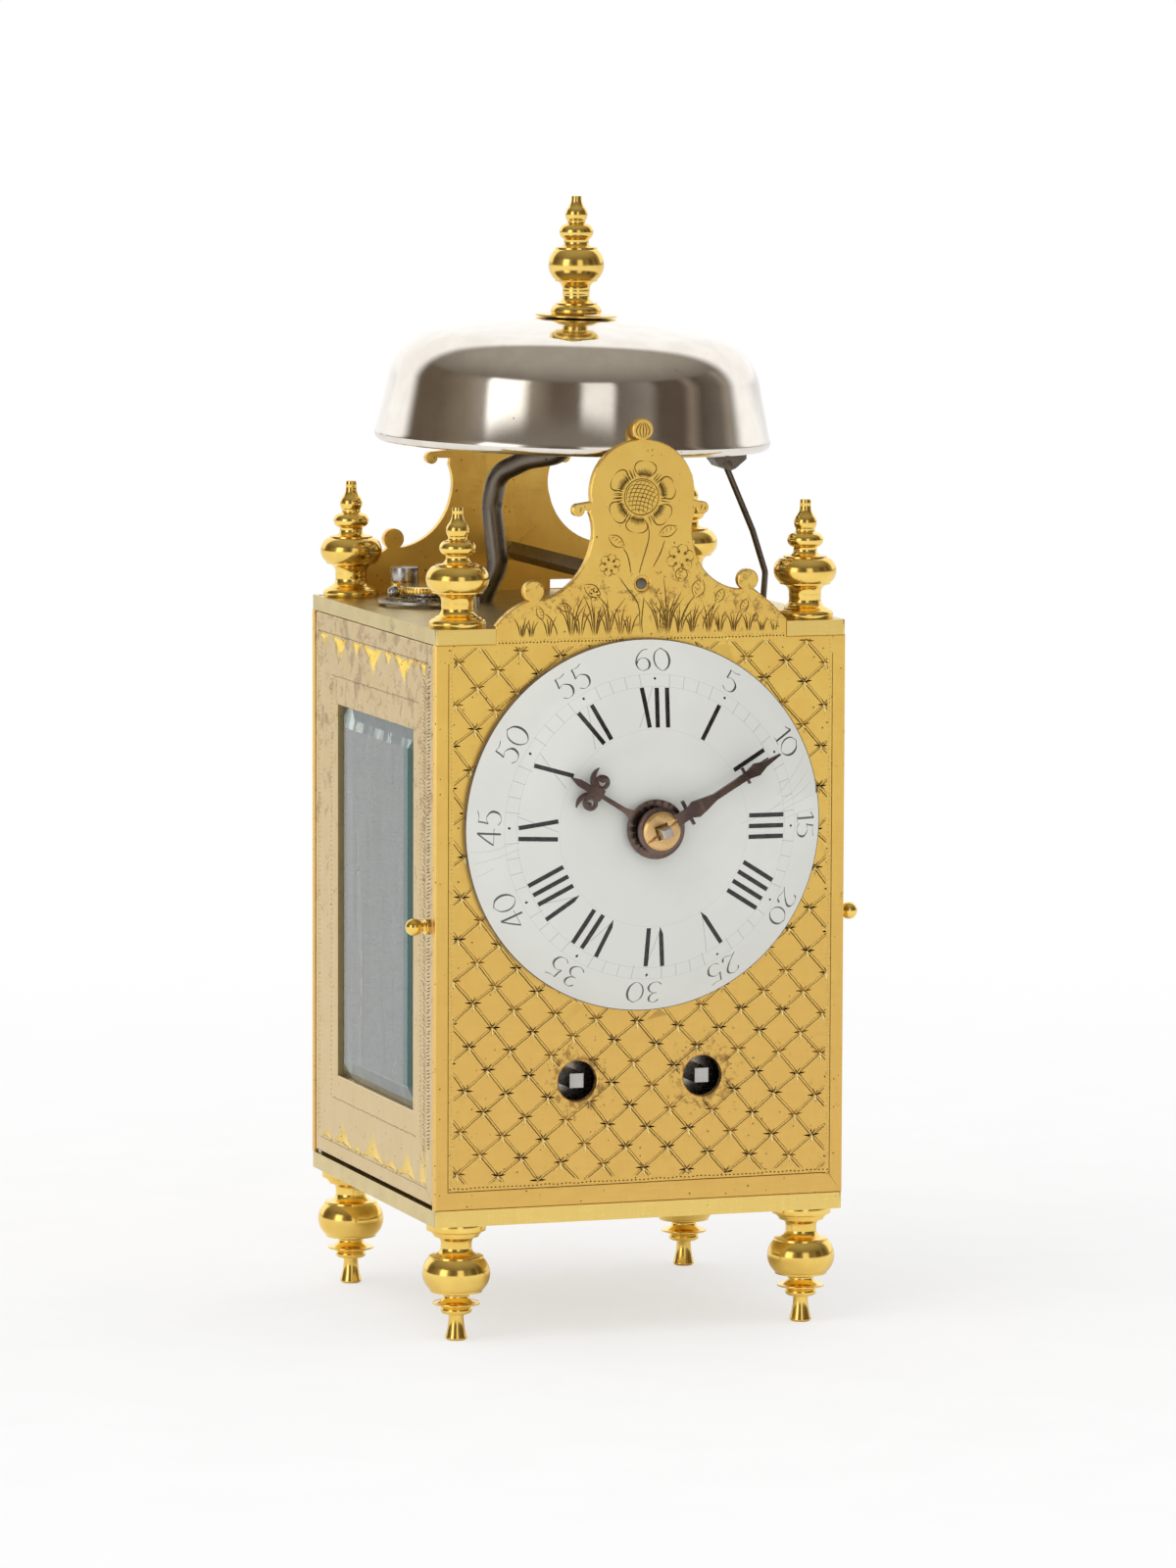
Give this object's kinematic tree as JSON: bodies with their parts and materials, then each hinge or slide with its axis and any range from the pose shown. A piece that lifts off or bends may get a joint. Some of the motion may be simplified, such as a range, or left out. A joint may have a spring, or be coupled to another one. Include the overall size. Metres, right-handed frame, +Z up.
{
  "type": "lantern clock",
  "caption": "Small brass lantern clock with a domed enamel dial, engraved plates, pierced crests, glazed side doors, turned feet and finials, and a bell on top.",
  "frame": {"origin": "under the middle of the whole clock, on the surface that it stands on", "axes": "+Z up, -Y towards the viewer of the dial, +X to that viewer's right"},
  "size_m": [0.0664, 0.0704, 0.1577],
  "materials": {
    "gilt_plate": "engraved and gilt",
    "plate_brass": "worn satin",
    "door_brass": "engraved",
    "turned_brass": "polished",
    "movement_brass": "satin",
    "enamel": "glossy enamel on copper",
    "steel": "dark, worn",
    "blued_steel": "browned and blued",
    "bright_steel": "polished",
    "bell_metal": "polished bell metal",
    "glass": "bevelled"
  },
  "bodies": {
    "case": {"base_plate": "plate_brass", "top_plate": "plate_brass", "front_plate": "gilt_plate", "back_plate": "gilt_plate", "corner_posts": "bright_steel", "feet": "turned_brass", "corner_finials": "turned_brass", "door_hinge_pins": "bright_steel", "dial": "enamel", "taper_pins": "bright_steel", "bell": "bell_metal", "bell_washer": "turned_brass", "bell_finial": "turned_brass", "bell_stand": "steel", "movement_front_plate": "movement_brass", "movement_back_plate": "movement_brass", "movement_pillars": "movement_brass", "blade_springs": "blued_steel", "balance_cock": "turned_brass", "cock_screw": "blued_steel", "balance_spring": "bright_steel", "verge_potence": "movement_brass"},
    "left_door_body": {"left_door": "door_brass", "left_glass": "glass", "left_knob": "turned_brass"},
    "right_door_body": {"right_door": "door_brass", "right_glass": "glass", "right_knob": "turned_brass"},
    "centre_arbor": {"centre_wheel": "movement_brass", "cannon_pinion": "movement_brass", "minute_hand": "blued_steel", "hand_nut": "turned_brass"},
    "hour_pipe": {"hour_wheel": "movement_brass", "hour_hand": "blued_steel"},
    "minute_wheel_body": {"minute_wheel": "movement_brass"},
    "intermediate_body": {"intermediate_wheel": "movement_brass"},
    "going_barrel_body": {"going_barrel": "movement_brass", "going_barrel_cover": "movement_brass", "going_mainspring": "bright_steel"},
    "going_winder": {"going_winding_arbor": "bright_steel", "going_ratchet": "bright_steel"},
    "going_click_body": {"going_click": "bright_steel"},
    "third_body": {"third_wheel": "movement_brass"},
    "crown_body": {"crown_wheel": "movement_brass"},
    "balance_body": {"verge": "bright_steel", "balance_wheel": "bright_steel"},
    "regulator_body": {"regulator_index": "turned_brass"},
    "strike_barrel_body": {"strike_barrel": "movement_brass", "strike_barrel_cover": "movement_brass", "strike_mainspring": "bright_steel"},
    "strike_winder": {"strike_winding_arbor": "bright_steel", "strike_ratchet": "bright_steel"},
    "strike_click_body": {"strike_click": "bright_steel"},
    "pin_wheel_body": {"pin_wheel": "movement_brass"},
    "locking_body": {"locking_wheel": "movement_brass"},
    "fly_body": {"fly": "movement_brass"},
    "hammer_body": {"hammer_arbor": "steel", "hammer_head": "steel"},
    "letoff_body": {"letoff_arbor": "steel"}
  },
  "joints": [
    {"name": "minute_hand_turn", "type": "hinge", "parent": "case", "child": "centre_arbor", "pos_m": [0, 0.0057, 0.0718], "axis": [0, 1, 0], "continuous": true},
    {"name": "hour_hand_turn", "type": "hinge", "parent": "case", "child": "hour_pipe", "pos_m": [0, -0.0143, 0.0718], "axis": [0, 1, 0], "continuous": true},
    {"name": "minute_wheel_turn", "type": "hinge", "parent": "case", "child": "minute_wheel_body", "pos_m": [0.00864, -0.0183, 0.0718], "axis": [0, 1, 0], "continuous": true},
    {"name": "intermediate_turn", "type": "hinge", "parent": "case", "child": "intermediate_body", "pos_m": [-0.0074, 0.0057, 0.0545], "axis": [0, 1, 0], "continuous": true},
    {"name": "going_barrel_turn", "type": "hinge", "parent": "case", "child": "going_barrel_body", "pos_m": [-0.0092, 0.0057, 0.0362], "axis": [0, 1, 0], "continuous": true},
    {"name": "third_wheel_turn", "type": "hinge", "parent": "case", "child": "third_body", "pos_m": [-0.0138, 0.0057, 0.0794], "axis": [0, 1, 0], "continuous": true},
    {"name": "crown_wheel_turn", "type": "hinge", "parent": "case", "child": "crown_body", "pos_m": [-0.019, 0.0207, 0.0901], "axis": [0, 1, 0], "continuous": true},
    {"name": "going_winding", "type": "hinge", "parent": "case", "child": "going_winder", "pos_m": [-0.0092, -0.0143, 0.0362], "axis": [0, 1, 0], "continuous": true},
    {"name": "strike_winding", "type": "hinge", "parent": "case", "child": "strike_winder", "pos_m": [0.0092, -0.0143, 0.0362], "axis": [0, 1, 0], "continuous": true},
    {"name": "locking_wheel_turn", "type": "hinge", "parent": "case", "child": "locking_body", "pos_m": [0.014, 0.0057, 0.0654], "axis": [0, 1, 0], "continuous": true},
    {"name": "fly_turn", "type": "hinge", "parent": "case", "child": "fly_body", "pos_m": [0.0175, 0.0057, 0.0753], "axis": [0, 1, 0], "continuous": true},
    {"name": "pin_wheel_turn", "type": "hinge", "parent": "case", "child": "pin_wheel_body", "pos_m": [0.0155, 0.0057, 0.0535], "axis": [0, 1, 0], "continuous": true},
    {"name": "strike_barrel_turn", "type": "hinge", "parent": "case", "child": "strike_barrel_body", "pos_m": [0.0092, 0.0057, 0.0362], "axis": [0, 1, 0], "continuous": true},
    {"name": "going_click_lift", "type": "hinge", "parent": "case", "child": "going_click_body", "pos_m": [-0.0144, -0.0173, 0.0426], "axis": [0, 1, 0], "range_deg": [-12, 0]},
    {"name": "strike_click_lift", "type": "hinge", "parent": "case", "child": "strike_click_body", "pos_m": [0.0144, -0.0173, 0.0426], "axis": [0, 1, 0], "range_deg": [0, 12]},
    {"name": "balance_swing", "type": "hinge", "parent": "case", "child": "balance_body", "pos_m": [-0.019, 0.0147, 0.0996], "axis": [0, 0, 1], "range_deg": [-50, 50], "stiffness_Nm_per_rad": 0.000002},
    {"name": "regulator_turn", "type": "hinge", "parent": "case", "child": "regulator_body", "pos_m": [-0.019, 0.0147, 0.1011], "axis": [0, 0, 1], "range_deg": [-25, 25]},
    {"name": "hammer_swing", "type": "hinge", "parent": "case", "child": "hammer_body", "pos_m": [0.0248, 0.0057, 0.0611], "axis": [0, 1, 0], "range_deg": [-6, 0.5], "stiffness_Nm_per_rad": 0.02},
    {"name": "letoff_turn", "type": "hinge", "parent": "case", "child": "letoff_body", "pos_m": [0, 0.0057, 0.1053], "axis": [0, 1, 0], "range_deg": [0, 12]},
    {"name": "left_door_swing", "type": "hinge", "parent": "case", "child": "left_door_body", "pos_m": [-0.0292, 0.0329, 0.06], "axis": [0, 0, -1], "range_deg": [0, 95]},
    {"name": "right_door_swing", "type": "hinge", "parent": "case", "child": "right_door_body", "pos_m": [0.0292, 0.0329, 0.06], "axis": [0, 0, 1], "range_deg": [0, 95]}
  ],
  "couplings": [
    {"joint": "hour_hand_turn", "follows": "minute_hand_turn", "ratio": 0.083333},
    {"joint": "minute_wheel_turn", "follows": "minute_hand_turn", "ratio": -0.33333},
    {"joint": "intermediate_turn", "follows": "minute_hand_turn", "ratio": -0.23684},
    {"joint": "going_barrel_turn", "follows": "minute_hand_turn", "ratio": 0.035526},
    {"joint": "third_wheel_turn", "follows": "minute_hand_turn", "ratio": -8},
    {"joint": "crown_wheel_turn", "follows": "minute_hand_turn", "ratio": 60},
    {"joint": "fly_turn", "follows": "locking_wheel_turn", "ratio": -6},
    {"joint": "pin_wheel_turn", "follows": "locking_wheel_turn", "ratio": -0.14286},
    {"joint": "strike_barrel_turn", "follows": "locking_wheel_turn", "ratio": 0.021429}
  ]
}
